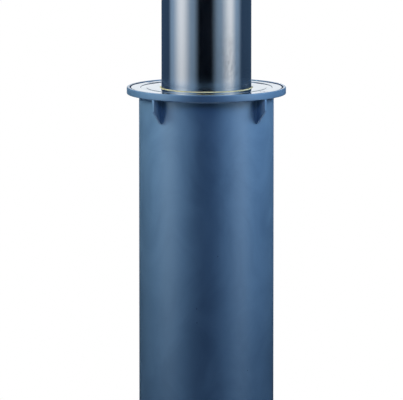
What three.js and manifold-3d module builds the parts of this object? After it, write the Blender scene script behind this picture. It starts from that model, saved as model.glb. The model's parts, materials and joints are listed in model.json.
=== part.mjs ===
// A retractable bollard. A stainless post slides in a steel casing that is cast into the ground. A gas spring
// lifts the post, and a lock in its cap throws two bolts into the guide rails, at the top and at the bottom.
// Millimetres, +Z up. The origin is the centre of the base plate's underside, and the post stands raised.
import * as THREE from "three";
import { mergeVertices } from "three/addons/utils/BufferGeometryUtils.js";
import Module from "manifold-3d";

const wasm = await Module();
wasm.setup();

// Driving dimensions
const POST_RADIUS = 57.15; // a 114.3 mm tube
const POST_WALL = 3;
const CASING_RADIUS = 85.5;
const CASING_WALL = 4;
const FLANGE_RADIUS = 101;
const FLANGE_RIM = 8.8;
const GROUND = 800; // the flange's top, level with the paving, above the underside of the base plate
const STROKE = 600;
const CAP_PROUD = 6; // the cap of the lowered post stands this far above the flange
const BOLT_TRAVEL = 14;
const GAP = 0.3; // between pieces that touch
const RUN = 0.4; // between pieces that slide
const SIDES = 48; // of each large round piece that shows
const INNER_SIDES = 32; // of each large round piece inside
const SMALL_SIDES = 24;
const SCREW_SIDES = 16;

// Worked out from the driving dimensions
const POST_BORE = POST_RADIUS - POST_WALL;
const CASING_BORE = CASING_RADIUS - CASING_WALL;
const POST_TOP = GROUND + STROKE + CAP_PROUD;
const INSERT_RADIUS = POST_BORE - GAP; // of discs fixed inside the post
const FULL_TURN = 2 * Math.PI;

// Casing
const BASE = { radius: 105, thickness: 8, boltCircle: 95, boltHole: 5.5 };
const DRAIN = { radius: 20, strainer: 25.5, seat: 5 };
const FLANGE = { bore: CASING_BORE, seat: 97, seatDepth: 4.8, chamfer: 0.8, bottom: GROUND - FLANGE_RIM };
const GUSSET = { radius: 100.4, height: 31.2, straight: 15, land: 2, thickness: 4 };
const RAIL = { inner: 60, outer: 79.8, half: 13, web: 4, top: 700 };
const LEDGE = { bore: 70, bottom: 762, top: 772, boltCircle: 75.5 };
const HOUSING = { bore: 62, bottom: 720, top: 784 };
const COVER = { top: GROUND - 0.7, thickness: 3.8, outer: 95.7, inner: 83.6, lap: 84.9, lapThickness: 1.2 };
const COVER_SCREWS = { circle: 89.5, turn: 6, hole: 2.8 };
const CARRIER = { bottom: 788, bore: 62, sleeve: 68, lip: 59.2, lipThickness: 2 };
const CARRIER_TOP = { rim: 76, step: 0.4, flange: 84.5 };
const BUFFER = { radius: 11, top: 44.7, circle: 69.3 };

// Post
const FOOT = { bottom: 645, thickness: 7.7, radius: 80.5 };
const SHOE = { bottom: 653, top: 712, notch: 13.4 };
const LATCH = { z: 672, width: 16, height: 12, inner: 5, outer: 56.3, pinRadius: 2.5, pinAt: 9.5 };
const LATCH_HOUSING = { bottom: 653, top: 686, camSeat: 678.6, camBore: 28.1 };
const LID = { bottom: 686.3, top: 692 };
const SPRING = { y: -38, bottom: 697, top: 1350, tube: 14, bore: 12, rod: 7, piston: 11.5, eyeZ: 26 };
const BAND = { bottom: 1300, top: 1360, depth: 1 };
const HEAD = { bottom: 1366, top: 1376, screwCircle: 42 };
const CAP = { joint: POST_TOP - 10.5, spigot: POST_TOP - 18, round: 4, recess: 23.6, recessDepth: 4.5 };
const BARREL = { bore: 9.4, radius: 16, flange: 20, bottom: 1377, top: POST_TOP - CAP.recessDepth };
const FLAP = { radius: 22.6, bottom: POST_TOP - 4, top: POST_TOP - 0.3, hingeY: 29, hingeZ: POST_TOP - 3.8 };

// ---------------------------------------------------------------- shapes

// A closed outline of [radius, height] pairs turned about Z. It may also start and end on the axis.
function turned(outline, sides = SIDES) {
  const area = outline.reduce((sum, [r, z], i) => {
    const [nextR, nextZ] = outline[(i + 1) % outline.length];
    return sum + r * nextZ - nextR * z;
  }, 0);
  const ordered = area > 0 ? outline : [...outline].reverse();
  const points = ordered.map(([r, z]) => new THREE.Vector2(r, z));
  const meetsAxis = points[0].x === 0 && points[points.length - 1].x === 0;
  if (!meetsAxis) points.push(points[0].clone());
  return new THREE.LatheGeometry(points, sides).rotateX(Math.PI / 2);
}

const ring = (inner, outer, bottom, top, sides) =>
  turned([[inner, bottom], [outer, bottom], [outer, top], [inner, top]], sides);

const disc = (radius, bottom, top, sides) =>
  turned([[0, bottom], [radius, bottom], [radius, top], [0, top]], sides);

const block = (x0, x1, y0, y1, z0, z1) =>
  new THREE.BoxGeometry(x1 - x0, y1 - y0, z1 - z0).translate((x0 + x1) / 2, (y0 + y1) / 2, (z0 + z1) / 2);

// A flat outline in X and Y, raised from one height to another.
function raised(points, bottom, top) {
  const shape = new THREE.Shape(points.map(([x, y]) => new THREE.Vector2(x, y)));
  const options = { depth: top - bottom, bevelEnabled: false };
  return new THREE.ExtrudeGeometry(shape, options).translate(0, 0, bottom);
}

// A round bar along X, centred on y and z.
const crossBar = (radius, x0, x1, y, z, sides = SCREW_SIDES) =>
  disc(radius, x0, x1, sides).rotateY(Math.PI / 2).translate(0, y, z);

// Places of count things, evenly spread on a circle from a first angle in degrees.
function around(count, radius, first = 0) {
  return Array.from({ length: count }, (_, i) => {
    const angle = THREE.MathUtils.degToRad(first) + (i * FULL_TURN) / count;
    return { x: radius * Math.cos(angle), y: radius * Math.sin(angle), angle };
  });
}

// ---------------------------------------------------------------- cutting and joining

function solid(geometry) {
  const bare = geometry.clone();
  bare.deleteAttribute("normal");
  bare.deleteAttribute("uv");
  const merged = mergeVertices(bare, 1e-4);
  const triVerts = new Uint32Array(merged.index.array);
  return new wasm.Manifold(
    new wasm.Mesh({ numProp: 3, vertProperties: merged.attributes.position.array, triVerts }),
  );
}

function geometryOf(made) {
  const mesh = made.getMesh();
  return new THREE.BufferGeometry()
    .setAttribute("position", new THREE.BufferAttribute(new Float32Array(mesh.vertProperties), 3))
    .setIndex(new THREE.BufferAttribute(new Uint32Array(mesh.triVerts), 1));
}

const cut = (body, ...tools) =>
  geometryOf(tools.reduce((left, tool) => left.subtract(solid(tool)), solid(body)));
const join = (...pieces) => geometryOf(pieces.map(solid).reduce((a, b) => a.add(b)));
const common = (a, b) => geometryOf(solid(a).intersect(solid(b)));

const hole = (place, radius, bottom, top, sides = SCREW_SIDES) =>
  disc(radius, bottom, top, sides).translate(place.x, place.y, 0);

// A countersunk seat for a screw whose head is flush with top.
function countersink(place, head, shank, top) {
  const bottom = top - head + shank;
  const cone = turned([[0, bottom], [shank, bottom], [head + 1, top + 1], [0, top + 1]], SCREW_SIDES);
  return cone.translate(place.x, place.y, 0);
}

// ---------------------------------------------------------------- fasteners

// A countersunk screw with a hexagon socket, its head's top at z = 0.
function countersunkScrew(head, shank, length, socket) {
  const outline = [[0, 0], [head, 0], [shank, shank - head], [shank, -length], [0, -length]];
  const body = turned(outline, SCREW_SIDES);
  return cut(body, disc(socket, -socket, 1, 6));
}

// A cheese-head screw with a hexagon socket, the underside of its head at z = 0.
function socketScrew(head, headHeight, shank, length, socket) {
  const body = turned(
    [[0, headHeight], [head, headHeight], [head, 0], [shank, 0], [shank, -length], [0, -length]],
    SCREW_SIDES,
  );
  return cut(body, disc(socket, headHeight - socket, headHeight + 1, 6));
}

// ---------------------------------------------------------------- the casing's pieces

function basePlate() {
  const { radius, thickness, boltCircle, boltHole } = BASE;
  const recess = DRAIN.strainer + GAP;
  const plate = turned([
    [DRAIN.radius, 0], [radius, 0], [radius, thickness],
    [recess, thickness], [recess, DRAIN.seat], [DRAIN.radius, DRAIN.seat],
  ]);
  return cut(plate, ...around(4, boltCircle, 45).map((place) => hole(place, boltHole, -1, thickness + 1)));
}

function drainStrainer() {
  const plate = disc(DRAIN.strainer, DRAIN.seat + GAP, BASE.thickness, SMALL_SIDES);
  const holes = [{ x: 0, y: 0 }, ...around(6, 13)];
  return cut(plate, ...holes.map((place) => hole(place, 4, 0, BASE.thickness + 1, 12)));
}

const casingTube = () => ring(CASING_BORE, CASING_RADIUS, BASE.thickness + GAP, FLANGE.bottom - GAP);

const coverScrews = around(4, COVER_SCREWS.circle, 45 + COVER_SCREWS.turn);

// The flange is recessed for the cover, and its rim stands a little above the cover.
function topFlange() {
  const { bore, seat, seatDepth, chamfer, bottom } = FLANGE;
  const outline = [
    [bore, bottom], [FLANGE_RADIUS - chamfer, bottom], [FLANGE_RADIUS, bottom + chamfer],
    [FLANGE_RADIUS, GROUND - chamfer], [FLANGE_RADIUS - chamfer, GROUND], [seat, GROUND],
    [seat, GROUND - seatDepth], [bore, GROUND - seatDepth],
  ];
  const holes = coverScrews.map((place) => hole(place, COVER_SCREWS.hole, bottom - 1, GROUND));
  return cut(turned(outline), ...holes);
}

// A plate welded between the flange and the tube, with its lower outer corner cut off.
function gusset() {
  const inner = CASING_RADIUS + GAP;
  const { radius, height, straight, land, thickness } = GUSSET;
  const outline = [[inner, 0], [inner, -height], [inner + land, -height], [radius, -straight], [radius, 0]];
  return raised(outline, -thickness / 2, thickness / 2).rotateX(Math.PI / 2);
}

const boltWindow = (z) => {
  const half = LATCH.height / 2 + 0.6;
  return block(-CASING_BORE, CASING_BORE, -LATCH.width / 2 - 0.6, LATCH.width / 2 + 0.6, z - half, z + half);
};

// A channel whose web has a window for the bolt at each end of the stroke.
function guideRail() {
  const { inner, outer, half, web, top } = RAIL;
  const leg = half - web + 0.5;
  const outline = [
    [inner, -half], [outer, -half], [outer, -leg], [inner + web, -leg],
    [inner + web, leg], [outer, leg], [outer, half], [inner, half],
  ];
  return cut(raised(outline, BASE.thickness + GAP, top), boltWindow(LATCH.z), boltWindow(LATCH.z - STROKE));
}

const housingBolts = around(3, LEDGE.boltCircle, 90);

const housingLedge = () =>
  cut(
    ring(LEDGE.bore, CASING_BORE - 0.5, LEDGE.bottom, LEDGE.top, INNER_SIDES),
    ...housingBolts.map((place) => hole(place, 2.8, LEDGE.bottom - 1, LEDGE.top + 1)),
  );

// The housing hangs on the ledge and holds the bush. The post's stop pads come up against its underside.
function guideHousing() {
  const { bore, bottom, top } = HOUSING;
  const body = turned([
    [bore, bottom], [LEDGE.bore - RUN, bottom], [LEDGE.bore - RUN, LEDGE.top + GAP],
    [CASING_BORE - 0.5, LEDGE.top + GAP], [CASING_BORE - 0.5, top], [bore, top],
  ], INNER_SIDES);
  return cut(body, ...housingBolts.map((place) => hole(place, 3.3, bottom - 1, top + 1)));
}

function guideBush() {
  const inner = POST_RADIUS + RUN;
  const outer = HOUSING.bore - GAP;
  const collar = HOUSING.top + GAP;
  return turned([
    [inner, HOUSING.bottom + 4], [outer, HOUSING.bottom + 4], [outer, collar],
    [outer + 4.3, collar], [outer + 4.3, collar + 2.7], [inner, collar + 2.7],
  ], INNER_SIDES);
}

// The cover's inner ring carries the wiper. Its top has a shallow step, and the cover ring clamps its edge.
function sealCarrier() {
  const { bore, lip, lipThickness, sleeve, bottom } = CARRIER;
  const { rim, step, flange } = CARRIER_TOP;
  const { top, thickness, inner, lapThickness } = COVER;
  const clamped = top - lapThickness - GAP;
  return turned([
    [bore, bottom], [sleeve, bottom], [sleeve, top - thickness], [flange, top - thickness], [flange, clamped],
    [inner - 0.4, clamped], [inner - 0.4, top - step], [rim, top - step], [rim, top],
    [lip, top], [lip, top - lipThickness], [bore, top - lipThickness],
  ]);
}

// A polyurethane ring held under the carrier's lip. Only its wiping edge stands up past the cover.
function wiperSeal() {
  const outer = CARRIER.bore - GAP;
  const wipe = POST_RADIUS + GAP;
  const shoulder = COVER.top - CARRIER.lipThickness - GAP;
  const edge = CARRIER.lip - GAP;
  return turned([
    [wipe + 1, CARRIER.bottom + 1], [outer, CARRIER.bottom + 1], [outer, shoulder], [edge, shoulder],
    [edge, GROUND - 0.2], [wipe, GROUND - 0.2], [wipe, shoulder - 2], [wipe + 1, shoulder - 3],
  ]);
}

function coverRing() {
  const { top, thickness, outer, inner, lap, lapThickness } = COVER;
  const plate = turned([
    [lap, top - thickness], [outer, top - thickness], [outer, top],
    [inner, top], [inner, top - lapThickness], [lap, top - lapThickness],
  ]);
  const seats = coverScrews.map((place) => countersink(place, 5.3, COVER_SCREWS.hole, top));
  const holes = coverScrews.map((place) => hole(place, COVER_SCREWS.hole, top - thickness - 1, top));
  return cut(plate, ...seats, ...holes);
}

const bottomBuffer = () => disc(BUFFER.radius, BASE.thickness + GAP, BUFFER.top, SMALL_SIDES);

// A fork on the base plate that holds the eye of the gas spring's rod.
function rodBracket() {
  const floor = BASE.thickness + GAP;
  const y = SPRING.y;
  const body = block(-13, 13, y - 11, y + 11, floor, SPRING.eyeZ + 10);
  const throat = block(-7.4, 7.4, y - 12, y + 12, floor + 6, SPRING.eyeZ + 11);
  return cut(body, throat, crossBar(4 + GAP, -14, 14, y, SPRING.eyeZ));
}

function rodPin() {
  const shank = crossBar(4, -16, 15, SPRING.y, SPRING.eyeZ);
  return join(shank, crossBar(6.5, -18, -13.3, SPRING.y, SPRING.eyeZ));
}

// The rod stands on the base and keeps its piston inside the cylinder, which rides up and down with the post.
function springRod() {
  const { y, bottom, bore, rod, piston, eyeZ } = SPRING;
  const pistonBottom = bottom + 25;
  const bar = turned(
    [[0, eyeZ], [rod, eyeZ], [rod, pistonBottom], [piston, pistonBottom], [piston, pistonBottom + 16],
      [0, pistonBottom + 16]],
    SMALL_SIDES,
  ).translate(0, y, 0);
  const eye = crossBar(bore - 3, -5.5, 5.5, y, eyeZ);
  return cut(join(bar, eye), crossBar(4 + GAP, -14, 14, y, eyeZ));
}

// ---------------------------------------------------------------- the post's pieces

function postTube() {
  const { bottom, top, depth } = BAND;
  const seat = POST_RADIUS - depth;
  const foot = FOOT.bottom + FOOT.thickness + GAP;
  const end = CAP.joint - 1.8;
  const tube = turned([
    [POST_BORE, foot], [POST_RADIUS, foot], [POST_RADIUS, bottom], [seat, bottom],
    [seat, top], [POST_RADIUS, top], [POST_RADIUS, end], [POST_BORE, end],
  ]);
  return cut(tube, boltWindow(LATCH.z));
}

const reflectiveBand = () =>
  ring(POST_RADIUS - BAND.depth + GAP, POST_RADIUS - 0.1, BAND.bottom + GAP, BAND.top - GAP);

const capGasket = () => ring(POST_BORE, POST_RADIUS - 0.2, CAP.joint - 1.5, CAP.joint - GAP);

const capScrews = around(3, HEAD.screwCircle, 90);

// A disc welded in the top of the tube, which takes the cap's screws and the gas spring's stud.
function headPlate() {
  const { bottom, top } = HEAD;
  const stud = { x: 0, y: SPRING.y };
  return cut(
    disc(INSERT_RADIUS, bottom, top, INNER_SIDES),
    hole({ x: 0, y: 0 }, 14, bottom - 1, top + 1, SMALL_SIDES),
    hole(stud, 5.3, bottom - 1, top + 1),
    ...capScrews.map((place) => hole(place, 3.3, bottom - 1, top + 1)),
  );
}

function postCap() {
  const { joint, spigot, round, recess, recessDepth } = CAP;
  const floor = POST_TOP - recessDepth;
  const flangeSeat = BARREL.top - 3;
  const edge = Array.from({ length: 4 }, (_, i) => {
    const turn = (i / 3) * (Math.PI / 2);
    return [POST_RADIUS - round * (1 - Math.cos(turn)), POST_TOP - round * (1 - Math.sin(turn))];
  });
  const body = turned([
    [BARREL.radius + GAP, spigot], [INSERT_RADIUS, spigot], [INSERT_RADIUS, joint], [POST_RADIUS, joint],
    ...edge, [recess, POST_TOP], [recess, floor], [BARREL.flange + GAP, floor],
    [BARREL.flange + GAP, flangeSeat], [BARREL.radius + GAP, flangeSeat],
  ]);
  const { hingeY, hingeZ } = FLAP;
  const hingePocket = block(-9.3, 9.3, 18, hingeY + 5, hingeZ - 4.7, POST_TOP + 1);
  const hingeBore = crossBar(1.5, -13.5, POST_RADIUS, hingeY, hingeZ, 8);
  const fingerNotch = crossBar(7, -6, 6, -recess - 1.5, POST_TOP + 3, SMALL_SIDES);
  return cut(
    body, hingePocket, hingeBore, fingerNotch,
    ...capScrews.map((place) => countersink(place, 6.3, 3.3, POST_TOP)),
    ...capScrews.map((place) => hole(place, 3.3, spigot - 1, POST_TOP)),
  );
}

function lockBarrel() {
  const { bore, radius, flange, bottom, top } = BARREL;
  const shoulder = top - 3 + GAP;
  return turned(
    [[bore, bottom], [radius, bottom], [radius, shoulder], [flange, shoulder],
      [flange, top - GAP], [bore, top - GAP]],
    SMALL_SIDES,
  );
}

const flapPin = () => crossBar(1.2, -12.5, 12.5, FLAP.hingeY, FLAP.hingeZ, 8);

// The gas spring's cylinder hangs from the head plate by a stud and slides over the rod's piston.
function springCylinder() {
  const { y, bottom, top, tube, bore, rod } = SPRING;
  const gland = bottom + 18;
  const roof = top - 8;
  return turned(
    [[0, roof], [bore, roof], [bore, gland], [rod + GAP, gland], [rod + GAP, bottom], [tube, bottom],
      [tube, top], [5, top], [5, HEAD.top + 8], [0, HEAD.top + 8]],
    SMALL_SIDES,
  ).translate(0, y, 0);
}

const springNut = () =>
  cut(disc(9.2, HEAD.top + GAP, HEAD.top + 7, 6), disc(5.3, HEAD.top - 1, HEAD.top + 8, SCREW_SIDES))
    .translate(0, SPRING.y, 0);

// A plastic disc half-way up the post that steadies the lock's shaft and the gas spring.
function shaftSteady() {
  const bottom = (FOOT.bottom + POST_TOP) / 2;
  const spring = { x: 0, y: SPRING.y };
  return cut(
    disc(INSERT_RADIUS, bottom, bottom + 10, INNER_SIDES),
    hole({ x: 0, y: 0 }, 8.5, bottom - 1, bottom + 11, SMALL_SIDES),
    hole(spring, SPRING.tube + GAP, bottom - 1, bottom + 11, SMALL_SIDES),
  );
}

const rodHole = (bottom, top) => hole({ x: 0, y: SPRING.y }, SPRING.rod + 1.3, bottom, top, SMALL_SIDES);
const lidScrews = [{ x: -40, y: 25 }, { x: 40, y: 25 }];
const footScrews = [{ x: -40, y: -25 }, { x: 40, y: -25 }];

// A block in the foot of the post. The bolts slide in its trench, and the cam turns in the seat above them.
function latchHousing() {
  const { bottom, top, camSeat, camBore } = LATCH_HOUSING;
  const floor = LATCH.z - LATCH.height / 2 - GAP;
  const half = LATCH.width / 2 + GAP;
  return cut(
    disc(INSERT_RADIUS, bottom, top, INNER_SIDES),
    block(-POST_RADIUS, POST_RADIUS, -half, half, floor, top + 1),
    hole({ x: 0, y: 0 }, camBore, camSeat, top + 1, SIDES),
    hole({ x: 0, y: 0 }, 4 + GAP, bottom + 4, floor + 1),
    rodHole(bottom - 1, top + 1),
    ...lidScrews.map((place) => hole(place, 2.8, top - 14, top + 1)),
    ...footScrews.map((place) => hole(place, 2.8, bottom - 1, bottom + 12)),
  );
}

const latchLid = () =>
  cut(
    disc(INSERT_RADIUS, LID.bottom, LID.top, INNER_SIDES),
    hole({ x: 0, y: 0 }, 6 + GAP, LID.bottom - 1, LID.top + 1),
    rodHole(LID.bottom - 1, LID.top + 1),
    ...lidScrews.map((place) => hole(place, 2.8, LID.bottom - 1, LID.top + 1)),
  );

function railNotches(bottom, top) {
  const notch = block(RAIL.inner - 0.5, CASING_RADIUS, -SHOE.notch, SHOE.notch, bottom, top);
  return [notch, notch.clone().rotateZ(Math.PI)];
}

// The disc under the post. It is notched to pass the rails, so the post can't turn.
function footPlate() {
  const { bottom, thickness, radius } = FOOT;
  const top = bottom + thickness;
  return cut(
    disc(radius, bottom, top),
    rodHole(bottom - 1, top + 1),
    ...railNotches(bottom - 1, top + 1),
    ...footScrews.map((place) => hole(place, 2.8, bottom - 1, top + 1)),
  );
}

// The front half of a ring about the post, cut short of the rails. The rear half is the same, turned round.
const halfRing = (outer, bottom, top) =>
  common(
    ring(POST_RADIUS + GAP, outer, bottom, top),
    block(-CASING_RADIUS, CASING_RADIUS, -CASING_RADIUS, -SHOE.notch, bottom - 1, top + 1),
  );

const guideShoe = () => halfRing(CASING_BORE - RUN, SHOE.bottom, SHOE.top);
const stopPad = () => halfRing(LEDGE.bore - RUN, SHOE.top + GAP, HOUSING.bottom - GAP);

// ---------------------------------------------------------------- the lock's pieces

// The plug has a three-sided driver in its open top and a square tail.
function lockPlug() {
  const shoulder = BARREL.bottom - 6;
  const seat = BARREL.top - 5.5;
  return join(
    disc(BARREL.bore - RUN, shoulder, seat, SMALL_SIDES),
    disc(5.5, seat - 1, BARREL.top - GAP, 3),
    block(-5, 5, -5, 5, shoulder - 10, shoulder + 1),
  );
}

const shaftCoupling = () =>
  cut(disc(11, BARREL.bottom - 25, BARREL.bottom - 7, SMALL_SIDES), block(-5.3, 5.3, -5.3, 5.3, 0, POST_TOP));

// A square bar from the coupling down to the lid, then a round journal that passes the cam and the bolts.
function driveShaft() {
  const top = BARREL.bottom - 17;
  const floor = LATCH_HOUSING.bottom + 5;
  return join(
    block(-5, 5, -5, 5, LID.top + 1, top),
    disc(6, LATCH_HOUSING.top - 1.7, LID.top + 2, SCREW_SIDES),
    disc(4, floor, LATCH_HOUSING.top - 1, SCREW_SIDES),
  );
}

// A slot that runs out from the centre by the same amount for each degree, so the bolts move evenly.
function spiralSlot() {
  const rise = BOLT_TRAVEL / (Math.PI / 2);
  const half = LATCH.pinRadius + GAP;
  const steps = 12;
  const capSteps = 4;
  const spine = Array.from({ length: steps + 1 }, (_, i) => {
    const turn = (i / steps) * (Math.PI / 2);
    const radius = LATCH.pinAt + rise * turn;
    const along = new THREE.Vector2(
      rise * Math.cos(turn) - radius * Math.sin(turn),
      -rise * Math.sin(turn) - radius * Math.cos(turn),
    ).normalize();
    const at = new THREE.Vector2(radius * Math.cos(turn), -radius * Math.sin(turn));
    return { at, along, side: new THREE.Vector2(-along.y, along.x) };
  });
  const offset = ({ at, side }, amount) => [at.x + side.x * amount, at.y + side.y * amount];
  const cap = ({ at, along, side }, sense) =>
    Array.from({ length: capSteps - 1 }, (_, i) => {
      const turn = ((i + 1) / capSteps) * Math.PI;
      const out = sense * half * Math.sin(turn);
      const across = sense * half * Math.cos(turn);
      return [at.x + along.x * out + side.x * across, at.y + along.y * out + side.y * across];
    });
  return [
    ...spine.map((step) => offset(step, half)),
    ...cap(spine[steps], 1),
    ...[...spine].reverse().map((step) => offset(step, -half)),
    ...cap(spine[0], -1),
  ];
}

function camDisc() {
  const bottom = LATCH_HOUSING.camSeat + 0.4;
  const top = bottom + 5;
  const slot = raised(spiralSlot().reverse(), bottom - 1, top + 1);
  return cut(
    disc(LATCH_HOUSING.camBore - 0.6, bottom, top),
    disc(4 + GAP, bottom - 1, top + 1, SCREW_SIDES),
    slot,
    slot.clone().rotateZ(Math.PI),
  );
}

// A bar with a bevelled nose and a pin that stands up into the cam's slot.
function latchBolt() {
  const { z, width, height, inner, outer, pinRadius, pinAt } = LATCH;
  const half = height / 2;
  const outline = [
    [inner, z - half], [outer - 2, z - half], [outer, z - half + 2], [outer, z + half - 2],
    [outer - 2, z + half], [inner, z + half],
  ];
  const bar = raised(outline, -width / 2, width / 2).rotateX(Math.PI / 2);
  return join(bar, disc(pinRadius, z, z + half + 5.6, SCREW_SIDES).translate(pinAt, 0, 0));
}

// A lid over the lock, with a knuckle that turns on the hinge pin.
function lockFlap() {
  const { radius, bottom, top, hingeY, hingeZ } = FLAP;
  const lid = disc(radius, bottom, top);
  const tab = block(-8.9, 8.9, 15, hingeY, bottom, top);
  const knuckle = crossBar(2.9, -8.9, 8.9, hingeY, hingeZ);
  return cut(join(lid, tab, knuckle), crossBar(1.5, -10, 10, hingeY, hingeZ, 8));
}

// ---------------------------------------------------------------- materials and assembly

const finish = (color, roughness, metalness) =>
  new THREE.MeshStandardMaterial({ color, roughness, metalness });
const MATERIAL = {
  paint: finish("#56789a", 0.5, 0.1),
  blackPaint: finish("#0e0e10", 0.4, 0),
  stainless: finish("#b9bdc2", 0.25, 1),
  zinc: finish("#9a9ea2", 0.45, 1),
  aluminium: finish("#a9adb0", 0.5, 1),
  acetal: finish("#e6e4dc", 0.5, 0),
  rubber: finish("#1f2022", 0.8, 0),
  polyurethane: finish("#b7ab5c", 0.4, 0),
  brass: finish("#b08f4c", 0.35, 1),
  reflective: finish("#e9ecee", 0.35, 0),
};

function add(group, name, geometry, material, place = {}) {
  const mesh = new THREE.Mesh(geometry, material);
  mesh.name = name;
  mesh.position.set(place.x ?? 0, place.y ?? 0, place.z ?? 0);
  mesh.rotation.z = place.angle ?? 0;
  group.add(mesh);
}

function casing() {
  const group = new THREE.Group();
  add(group, "base_plate", basePlate(), MATERIAL.paint);
  add(group, "drain_strainer", drainStrainer(), MATERIAL.zinc);
  add(group, "casing_tube", casingTube(), MATERIAL.paint);
  add(group, "top_flange", topFlange(), MATERIAL.paint);
  around(4, 0, 45).forEach(({ angle }, i) =>
    add(group, `gusset_${i + 1}`, gusset(), MATERIAL.paint, { z: FLANGE.bottom - GAP, angle }),
  );
  add(group, "guide_rail_right", guideRail(), MATERIAL.zinc);
  add(group, "guide_rail_left", guideRail(), MATERIAL.zinc, { angle: Math.PI });
  add(group, "housing_ledge", housingLedge(), MATERIAL.zinc);
  add(group, "guide_housing", guideHousing(), MATERIAL.aluminium);
  add(group, "guide_bush", guideBush(), MATERIAL.acetal);
  housingBolts.forEach(({ x, y }, i) =>
    add(group, `housing_bolt_${i + 1}`, socketScrew(5, 5.5, 2.5, 20, 2.6), MATERIAL.zinc, {
      x, y, z: HOUSING.top + GAP,
    }),
  );
  add(group, "seal_carrier", sealCarrier(), MATERIAL.stainless);
  add(group, "wiper_seal", wiperSeal(), MATERIAL.polyurethane);
  add(group, "cover_ring", coverRing(), MATERIAL.stainless);
  coverScrews.forEach(({ x, y }, i) =>
    add(group, `cover_screw_${i + 1}`, countersunkScrew(5, 2.5, 5.8, 1.7), MATERIAL.stainless, {
      x, y, z: COVER.top,
    }),
  );
  add(group, "buffer_front", bottomBuffer(), MATERIAL.rubber, { y: -BUFFER.circle });
  add(group, "buffer_rear", bottomBuffer(), MATERIAL.rubber, { y: BUFFER.circle });
  add(group, "rod_bracket", rodBracket(), MATERIAL.zinc);
  add(group, "rod_pin", rodPin(), MATERIAL.zinc);
  add(group, "gas_spring_rod", springRod(), MATERIAL.stainless);
  return group;
}

function post() {
  const group = new THREE.Group();
  add(group, "post_tube", postTube(), MATERIAL.stainless);
  add(group, "reflective_band", reflectiveBand(), MATERIAL.reflective);
  add(group, "head_plate", headPlate(), MATERIAL.zinc);
  add(group, "cap_gasket", capGasket(), MATERIAL.rubber);
  add(group, "post_cap", postCap(), MATERIAL.stainless);
  capScrews.forEach(({ x, y }, i) =>
    add(group, `cap_screw_${i + 1}`, countersunkScrew(6, 3, 36, 2.3), MATERIAL.stainless, {
      x, y, z: POST_TOP - 0.1,
    }),
  );
  add(group, "lock_barrel", lockBarrel(), MATERIAL.brass);
  add(group, "flap_pin", flapPin(), MATERIAL.stainless);
  add(group, "gas_spring_cylinder", springCylinder(), MATERIAL.blackPaint);
  add(group, "gas_spring_nut", springNut(), MATERIAL.zinc);
  add(group, "shaft_steady", shaftSteady(), MATERIAL.acetal);
  add(group, "latch_housing", latchHousing(), MATERIAL.aluminium);
  add(group, "latch_lid", latchLid(), MATERIAL.aluminium);
  lidScrews.forEach(({ x, y }, i) =>
    add(group, `lid_screw_${i + 1}`, socketScrew(4.5, 4.5, 2.5, 14, 2.3), MATERIAL.zinc, {
      x, y, z: LID.top + GAP,
    }),
  );
  add(group, "foot_plate", footPlate(), MATERIAL.zinc);
  footScrews.forEach(({ x, y }, i) =>
    add(group, `foot_screw_${i + 1}`, socketScrew(4.5, 4.5, 2.5, 16, 2.3).rotateX(Math.PI), MATERIAL.zinc, {
      x, y, z: FOOT.bottom - GAP,
    }),
  );
  add(group, "guide_shoe_front", guideShoe(), MATERIAL.acetal);
  add(group, "guide_shoe_rear", guideShoe(), MATERIAL.acetal, { angle: Math.PI });
  add(group, "stop_pad_front", stopPad(), MATERIAL.rubber);
  add(group, "stop_pad_rear", stopPad(), MATERIAL.rubber, { angle: Math.PI });
  return group;
}

function lock() {
  const group = new THREE.Group();
  add(group, "lock_plug", lockPlug(), MATERIAL.brass);
  add(group, "shaft_coupling", shaftCoupling(), MATERIAL.zinc);
  add(group, "drive_shaft", driveShaft(), MATERIAL.zinc);
  add(group, "cam_disc", camDisc(), MATERIAL.zinc);
  add(group, "latch_bolt_right", latchBolt(), MATERIAL.stainless);
  add(group, "latch_bolt_left", latchBolt(), MATERIAL.stainless, { angle: Math.PI });
  add(group, "lock_flap", lockFlap(), MATERIAL.stainless);
  return group;
}

const bollard = new THREE.Group();
bollard.add(casing(), post(), lock());

export default bollard;
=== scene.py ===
"""The finishes of a retractable bollard: a polished stainless post in a painted casing, in a pale studio."""

import json
import math

import bmesh
import bpy
from mathutils import Matrix, Vector


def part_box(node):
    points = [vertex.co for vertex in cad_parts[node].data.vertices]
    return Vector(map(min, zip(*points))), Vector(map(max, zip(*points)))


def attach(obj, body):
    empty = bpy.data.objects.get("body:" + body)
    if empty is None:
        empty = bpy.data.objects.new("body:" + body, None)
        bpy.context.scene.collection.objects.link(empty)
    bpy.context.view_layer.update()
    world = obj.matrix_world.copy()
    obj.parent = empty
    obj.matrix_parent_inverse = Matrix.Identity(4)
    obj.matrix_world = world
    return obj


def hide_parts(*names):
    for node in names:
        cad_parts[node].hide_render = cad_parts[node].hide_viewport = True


bl_info = {
    "name": "Retractable bollard",
    "version": (1, 0, 0),
    "blender": (4, 5, 0),
    "location": "3D View > Sidebar > Bollard",
    "description": "Makes the visible pieces, finishes and studio of a retractable bollard",
    "category": "Add Mesh",
}

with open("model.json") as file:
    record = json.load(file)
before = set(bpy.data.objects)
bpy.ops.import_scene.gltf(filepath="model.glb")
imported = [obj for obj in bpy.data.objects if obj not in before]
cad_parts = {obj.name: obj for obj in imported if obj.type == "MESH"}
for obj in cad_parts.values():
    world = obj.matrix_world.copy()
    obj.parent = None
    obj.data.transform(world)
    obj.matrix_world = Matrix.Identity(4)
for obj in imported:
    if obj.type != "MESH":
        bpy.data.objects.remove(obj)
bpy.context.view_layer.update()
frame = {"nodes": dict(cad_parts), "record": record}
MM = 0.001
SHARP_ANGLE = math.radians(35)
CLEARANCE = 0.3 * MM  # the gap that CAD leaves between pieces that would touch


# ---------------------------------------------------------------- sizes read from the frame


def low(node):
    """The height of a CAD node's underside."""
    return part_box(node)[0][2]


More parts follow.
